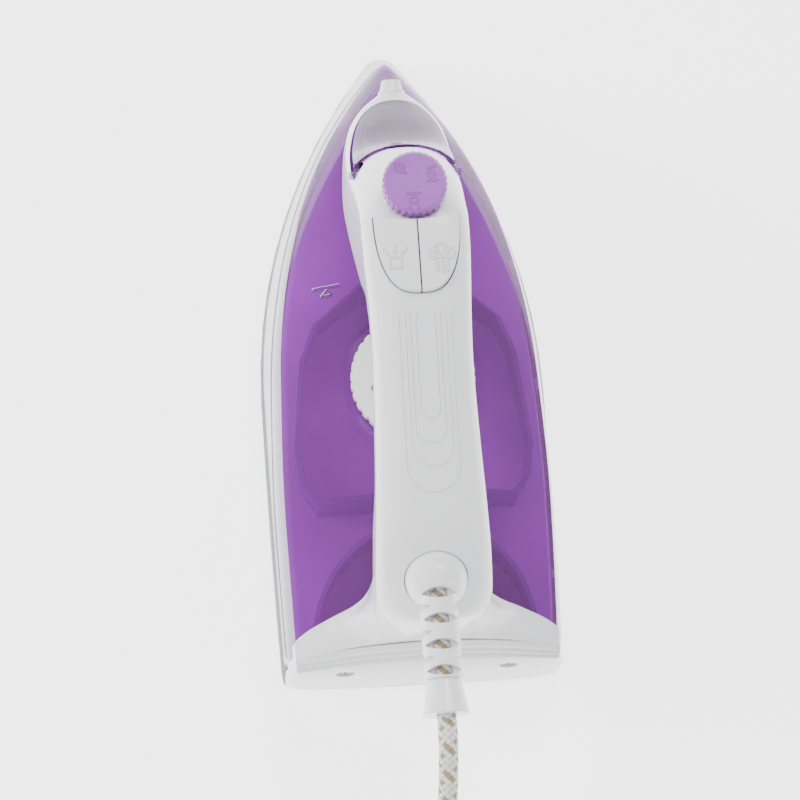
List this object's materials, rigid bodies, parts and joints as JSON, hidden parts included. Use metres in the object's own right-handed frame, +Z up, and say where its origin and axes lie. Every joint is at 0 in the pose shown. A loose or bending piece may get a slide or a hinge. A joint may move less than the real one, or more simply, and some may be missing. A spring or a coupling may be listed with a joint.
{
  "type": "steam clothes iron",
  "caption": "Steam iron with a clear tinted tank, a bridge handle with knob, buttons and dial, a hinged fill cover, and a braided lead on a swivel ball.",
  "frame": {"origin": "on the table, under the middle of the body's length and width, with the iron lying on its soleplate", "axes": "+Z up, +Y from the heel towards the tip of the soleplate, +X to the right seen from the heel"},
  "size_m": [0.1734, 0.4723, 0.136],
  "materials": {
    "sole_metal": "smooth bright sole face",
    "cast_alloy": "as cast",
    "plain_steel": "bright",
    "brass_parts": "turned",
    "seal_rubber": "matte",
    "white_plastic": "glossy moulding",
    "inner_plastic": "plain moulding",
    "grey_plastic": "satin moulding",
    "clear_purple": "clear tinted moulding",
    "solid_purple": "satin moulding",
    "smoked_purple": "clear tinted moulding",
    "braid": "woven white and khaki braid",
    "tie_plastic": "matte",
    "live_cover": "brown insulation",
    "neutral_cover": "blue insulation",
    "earth_cover": "green and yellow insulation"
  },
  "bodies": {
    "iron": {"sole_face": "sole_metal", "heating_base": "cast_alloy", "heating_element": "plain_steel", "chamber_gasket": "seal_rubber", "chamber_cover": "plain_steel", "chamber_screws": "plain_steel", "thermostat_body": "brass_parts", "thermal_fuse": "inner_plastic", "skirt": "grey_plastic", "sole_screws": "plain_steel", "tank_floor": "solid_purple", "tank_gasket": "seal_rubber", "tank_shell": "clear_purple", "valve_seat": "brass_parts", "rod_seal": "seal_rubber", "spray_pump_body": "inner_plastic", "burst_pump_body": "inner_plastic", "pump_bracket": "plain_steel", "spray_spring": "plain_steel", "burst_spring": "plain_steel", "spray_suction_tube": "inner_plastic", "burst_suction_tube": "inner_plastic", "spray_hose": "seal_rubber", "burst_hose": "seal_rubber", "spray_nozzle": "white_plastic", "nozzle_tip": "white_plastic", "fill_funnel": "clear_purple", "handle_shell": "white_plastic", "handle_grip": "white_plastic", "handle_screws": "plain_steel", "heel_cover": "white_plastic", "heel_screws": "plain_steel", "ball_socket": "inner_plastic", "cord_inner": "braid", "cord_clamp": "inner_plastic", "clamp_screws": "plain_steel", "terminal_block": "inner_plastic", "live_wire": "live_cover", "neutral_wire": "neutral_cover", "earth_wire": "earth_cover", "cord_run": "braid", "cord_coil": "braid", "cord_tie": "tie_plastic", "plug_body": "white_plastic", "plug_pins": "plain_steel", "plug_earth_clips": "brass_parts"},
    "steam_knob": {"steam_knob": "solid_purple"},
    "valve_rod": {"steam_rod": "plain_steel"},
    "thermostat_control": {"thermostat_dial": "white_plastic", "thermostat_spindle": "plain_steel"},
    "spray_plunger": {"spray_button": "white_plastic", "spray_piston": "inner_plastic"},
    "burst_plunger": {"burst_button": "white_plastic", "burst_piston": "inner_plastic"},
    "cover": {"fill_cover": "smoked_purple"},
    "swivel_guard": {"cord_guard": "white_plastic", "cord_in_guard": "braid"}
  },
  "joints": [
    {"name": "knob_turn", "type": "hinge", "parent": "iron", "child": "steam_knob", "pos_m": [0, 0.036, 0.129], "axis": [0, 0, 1], "range_deg": [0, 120]},
    {"name": "valve_lift", "type": "slide", "parent": "iron", "child": "valve_rod", "axis": [0, 0, 1], "range_m": [0, 0.002]},
    {"name": "dial_turn", "type": "hinge", "parent": "iron", "child": "thermostat_control", "pos_m": [0, -0.02, 0.06], "axis": [0, 0, 1], "range_deg": [0, 270]},
    {"name": "spray_press", "type": "slide", "parent": "iron", "child": "spray_plunger", "axis": [0, 0, -1], "range_m": [0, 0.0035], "stiffness_N_per_m": 1500, "springref_m": -0.002, "deforming": ["spray_spring"]},
    {"name": "burst_press", "type": "slide", "parent": "iron", "child": "burst_plunger", "axis": [0, 0, -1], "range_m": [0, 0.0035], "stiffness_N_per_m": 1500, "springref_m": -0.002, "deforming": ["burst_spring"]},
    {"name": "cover_open", "type": "hinge", "parent": "iron", "child": "cover", "pos_m": [0, 0.053, 0.093], "axis": [1, 0, 0], "range_deg": [0, 50]},
    {"name": "cord_swivel", "type": "hinge", "parent": "iron", "child": "swivel_guard", "pos_m": [0, -0.108, 0.103], "axis": [0, 0, 1], "range_deg": [-40, 40]}
  ],
  "couplings": [
    {"joint": "knob_turn", "follows": "valve_lift", "rad_per_m": 1047.2}
  ]
}
